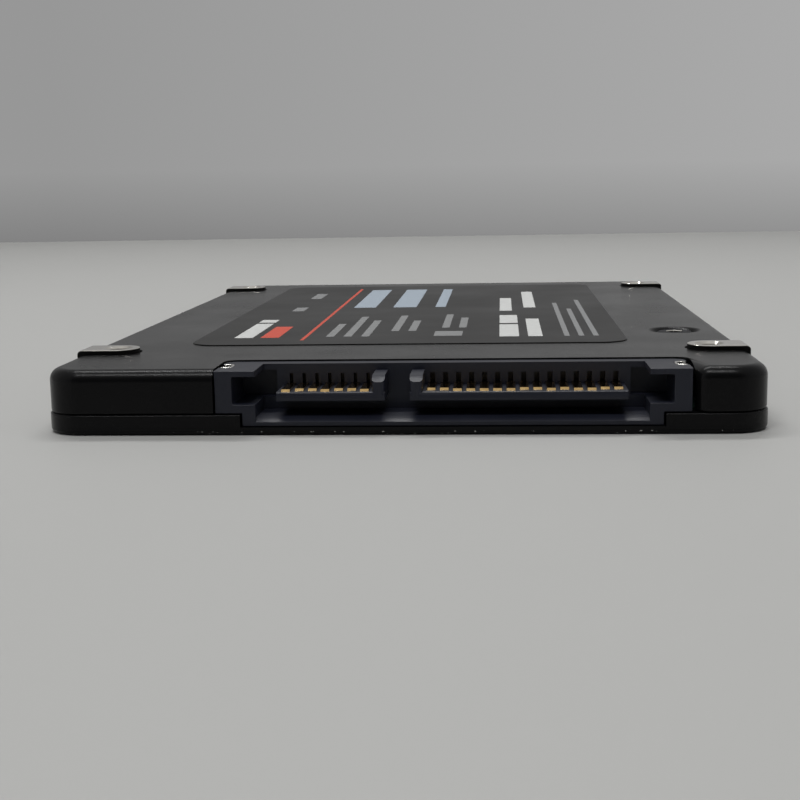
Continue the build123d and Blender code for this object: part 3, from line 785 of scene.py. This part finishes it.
def makeContact(c, tip):
    # a strip along the blade, folded down at the rear to a foot on the board, with a chamfered nose
    leaveEdit()
    back = c["drop"] + c["thick"]
    length = back - tip
    bpy.ops.mesh.primitive_plane_add(size=1, location=(0, (tip + length / 2) * mm, c["top"] * mm))
    strip = bpy.context.object
    strip.scale = (c["width"] * mm, length * mm, 1)
    settle(strip, "contact")
    pickEdges(strip, lambda a, b: bothAt(a, b, back))
    fall = c["foot"] + c["thick"] - c["top"]
    bpy.ops.mesh.extrude_region_move(TRANSFORM_OT_translate={"value": (0, 0, fall * mm)})
    bpy.ops.mesh.extrude_region_move(TRANSFORM_OT_translate={"value": (0, (c["tailEnd"] - back) * mm, 0)})
    pickEdges(strip, lambda a, b: bothAt(a, b, tip))
    nose = c["noseGap"] - c["thick"]
    bpy.ops.mesh.extrude_region_move(TRANSFORM_OT_translate={"value": (0, 0, nose * mm)})
    leaveEdit()
    roundEdges(strip, lambda a, b: bothAt(a, b, tip) and level(a, b, c["top"]), c["noseRound"], steps=1)
    roundEdges(strip, lambda a, b: bothAt(a, b, back) and near(a.z, b.z), c["bend"], steps=4)
    if max(strip.data.polygons, key=lambda f: f.area).normal.z < 0:
        strip.data.flip_normals()
    only(strip)
    bpy.ops.object.modifier_add(type="SOLIDIFY")
    wall = strip.modifiers[-1]
    wall.thickness = c["sheet"] * mm
    wall.offset = -1
    bpy.ops.object.modifier_apply(modifier=wall.name)
    breakEdges(strip, c["edgeBreak"], steps=2)
    return strip


masters = {tip: makeContact(contactStrip, tip) for tip in (contactStrip["longTip"], contactStrip["shortTip"])}
for group in ("signal", "power"):
    rows = [(x, tip) for kind, x, tip in contactPlaces(contactStrip) if kind == group]
    strips = joinAll([copyOf(masters[tip], "strip", (x, 0, 0)) for x, tip in rows], group + "Contacts")
    finishPiece(strips, gold, [group + "_contacts"], angle=40)
for master in masters.values():
    bpy.data.objects.remove(master)
print("contacts made", len(strips.data.polygons))


# Hold-down clips in the wings
holdDown = {
    "inner": 21.325, "outer": 22.455, "half": 1.1, "sheet": 0.25, "corner": 0.5, "foot": 1.05, "top": 6.24,
    "y": -46.1, "rim": 0.1,
}


def makeHoldDown(c, side):
    # a bent strip, open to the outside
    def prism(name, inner, outer, half, foot, top, corner):
        ends = sorted(connectorX + side * end for end in (inner, outer))
        shape = addBlock(name, (ends[0], c["y"] - half, foot), (ends[1], c["y"] + half, top))
        roundEdges(shape, lambda a, b: upright(a, b) and near(a.x, connectorX + side * inner),
                   corner, steps=4)
        return shape
    sheet = c["sheet"]
    clip = prism("clip", c["inner"], c["outer"], c["half"], c["foot"], c["top"], c["corner"])
    core = prism("core", c["inner"] + sheet, c["outer"] + past, c["half"] - sheet, c["foot"] - past,
                 c["top"] + past, c["corner"] - sheet / 2)
    carve(clip, core)
    roundEdges(clip, lambda a, b: level(a, b, c["top"]), c["rim"], steps=3, sharp=1)
    return clip


for sideName, side in bracketSides.items():
    clip = makeHoldDown(holdDown, side)
    clip.name = "holdDown" + sideName.title()
    finishPiece(clip, tinned, ["hold_down_" + sideName])
print("hold-downs made")


# Label and its print
label = {"low": (-24.55, -31.5, 6.35), "high": (23.25, 43.0, 6.45), "cornerRound": 3.0, "edgeBreak": 0.06}
sticker = addBlock("label", label["low"], label["high"])
roundEdges(sticker, upright, label["cornerRound"], steps=10)
roundEdges(sticker, lambda a, b: level(a, b, label["high"][2]), label["edgeBreak"], steps=3, sharp=1)
finishPiece(sticker, film, ["label"])

# plain bars and fields: left, right, near, far
printedBars = {
    "inkWhite": [(-20.6, -18.5, -25.5, -11.0), (-20.6, -18.5, -9.8, -6.6), (9.4, 11.6, -26.0, -14.0),
                 (9.4, 11.6, -12.6, -3.5), (12.6, 14.2, -26.0, -8.0), (9.4, 11.0, 2.0, 20.0),
                 (12.6, 14.2, 6.0, 30.0)],
    "inkRed": [(-17.6, -15.5, -25.5, -14.5), (-12.7, -12.3, -28.0, 38.0)],
    "inkSky": [(-10.6, -7.6, 8.0, 36.0), (-5.2, -2.0, 8.0, 36.0), (0.6, 2.0, 8.0, 36.0)],
    "inkGrey": [(-10.2, -9.3, -25.0, -12.0), (-8.2, -7.3, -25.0, -4.0), (-6.2, -5.3, -25.0, -8.5),
                (-3.2, -2.3, -20.0, -3.0), (-1.2, -0.3, -20.0, -9.0), (2.0, 5.2, -25.0, -20.5),
                (2.6, 3.5, -17.0, -2.0), (4.6, 5.5, -17.0, -6.0), (-18.6, -17.0, 4.0, 9.0),
                (-18.6, -17.0, 22.0, 30.0), (16.6, 17.2, -26.0, 12.0), (18.2, 18.8, -26.0, 4.0),
                (19.8, 20.4, -26.0, 16.0)],
}
inkFilm = {"foot": 6.45, "top": 6.458, "cornerRound": 0.12}
for inkName, bars in printedBars.items():
    marks = []
    for left, right, front, rear in bars:
        mark = addBlock("mark", (left, front, inkFilm["foot"]), (right, rear, inkFilm["top"]))
        roundEdges(mark, upright, inkFilm["cornerRound"], steps=3)
        marks.append(mark)
    printed = joinAll(marks, "label" + inkName[0].upper() + inkName[1:])
    finishPiece(printed, inks[inkName])
print("label made")


# Studio
studio = {
    "floor": "#ababa9", "wall": "#c4c4c2", "wallY": 0.36, "reach": 3.0,  # place and reach in metres
    "glowLeft": 0.31, "glowRight": 0.41, "glowFoot": 0.72, "footHeight": 28.0, "acrossHalf": 170.0,
}
for title, place, turn, tint in (("floor", (0, 0, 0), 0, studio["floor"]),
                                 ("backdrop", (0, studio["wallY"], 0), math.pi / 2, studio["wall"])):
    leaveEdit()
    bpy.ops.mesh.primitive_plane_add(size=studio["reach"], location=place, rotation=(turn, 0, 0))
    sheet = settle(bpy.context.object, title)
    # matt paper with a slight tooth
    paper, tree, shader, coords = startFinish(title + "Paper", {})
    mottle(tree, shader, coords, {"dark": tint, "light": tint, "smooth": 0.55, "rough": 0.6, "cloud": 120.0,
                                  "grain": 0.6, "bump": 0.1, "depth": 0.05})
    sheet.data.materials.append(paper)

# tree, shader and coords are now those of the backdrop. For the camera and the glossy surfaces it glows as
# pale
# as it is lit in the picture: painted light, lighter to the right, and painted shade, dimmer at its foot
point = addNode(tree, "ShaderNodeSeparateXYZ", {}, {"Vector": coords})
across = addNode(tree, "ShaderNodeMapRange", {
    "From Min": -studio["acrossHalf"] * mm, "From Max": studio["acrossHalf"] * mm,
    "To Min": studio["glowLeft"], "To Max": studio["glowRight"]}, {"Value": point.outputs["X"]})
foot = addNode(tree, "ShaderNodeMapRange", {
    "From Max": studio["footHeight"] * mm, "To Min": studio["glowFoot"], "To Max": 1.0},
    {"Value": point.outputs["Z"]})
glow = addNode(tree, "ShaderNodeMath", {"operation": "MULTIPLY"},
               {0: across.outputs["Result"], 1: foot.outputs["Result"]})
rays = addNode(tree, "ShaderNodeLightPath")
seen = rays.outputs["Is Camera Ray"]
for kind in ("Is Glossy Ray", "Is Transmission Ray"):
    seen = addNode(tree, "ShaderNodeMath", {"operation": "MAXIMUM"},
                   {0: seen, 1: rays.outputs[kind]}).outputs[0]
# painted light: the backdrop gives off its own graded glow, it is no lamp
shine = addNode(tree, "ShaderNodeEmission", {}, {"Strength": glow.outputs[0]})
blend = addNode(tree, "ShaderNodeMixShader", {},
                {0: seen, 1: shader.outputs["BSDF"], 2: shine.outputs["Emission"]})
tree.links.new(blend.outputs["Shader"], tree.nodes["Material Output"].inputs["Surface"])

lamps = {  # place, aim, width, length, watts
    "rearTube": ((-0.05, 0.1585, 0.4415), (-0.01, -0.05, 0.006), 0.36, 0.05, 1.0),
    "frontTube": ((-0.06, -0.39, 0.908), (-0.01, -0.05, 0.006), 0.65, 0.10, 4.25),
}
for title, (place, aim, width, length, watts) in lamps.items():
    leaveEdit()
    bpy.ops.object.light_add(type="AREA", location=place)
    lamp = bpy.context.object
    lamp.name = title
    lamp.data.shape = "RECTANGLE"
    lamp.data.size = width
    lamp.data.size_y = length
    lamp.data.energy = watts
    lamp.rotation_euler = (Vector(aim) - Vector(place)).to_track_quat("-Z", "Y").to_euler()
    lamp.visible_camera = False

# a soft bright room, dark low in front of the connector. The camera itself sees a pale room all round
room = {"bright": 0.45, "dark": 0.04, "shown": 0.42, "darkSide": (0.05, -0.97, 0.2),
        "darkWithin": 30, "brightBeyond": 55}  # angles from the dark side in degrees
world = bpy.data.worlds.new("studioRoom")
bpy.context.scene.world = world
world.use_nodes = True
tree = world.node_tree
direction = addNode(tree, "ShaderNodeTexCoord")
toDark = addNode(tree, "ShaderNodeVectorMath", {"operation": "DOT_PRODUCT", 1: room["darkSide"]},
                 {0: direction.outputs["Generated"]})
fade = addNode(tree, "ShaderNodeMapRange", {
    "From Min": math.cos(math.radians(room["brightBeyond"])),
    "From Max": math.cos(math.radians(room["darkWithin"])),
    "To Min": room["bright"], "To Max": room["dark"]}, {"Value": toDark.outputs["Value"]})
rays = addNode(tree, "ShaderNodeLightPath")
shown = addNode(tree, "ShaderNodeMix", {"data_type": "FLOAT", 3: room["shown"]},
                {0: rays.outputs["Is Camera Ray"], 2: fade.outputs["Result"]})
tree.links.new(shown.outputs[0], tree.nodes["Background"].inputs["Strength"])
tree.nodes["Background"].inputs["Color"].default_value = linear("#ffffff")

view = {"place": (0.009704, -0.173414, 0.024358), "turn": (80.390, 1.024, 4.298),
        "lens": 59.81, "sensor": 36.0, "nearest": 0.005}
bpy.ops.object.camera_add(location=view["place"], rotation=[math.radians(v) for v in view["turn"]])
camera = bpy.context.object
camera.data.lens = view["lens"]
camera.data.sensor_width = view["sensor"]
camera.data.clip_start = view["nearest"]
bpy.context.scene.camera = camera
bpy.context.scene.view_settings.view_transform = "Standard"
print("studio set")
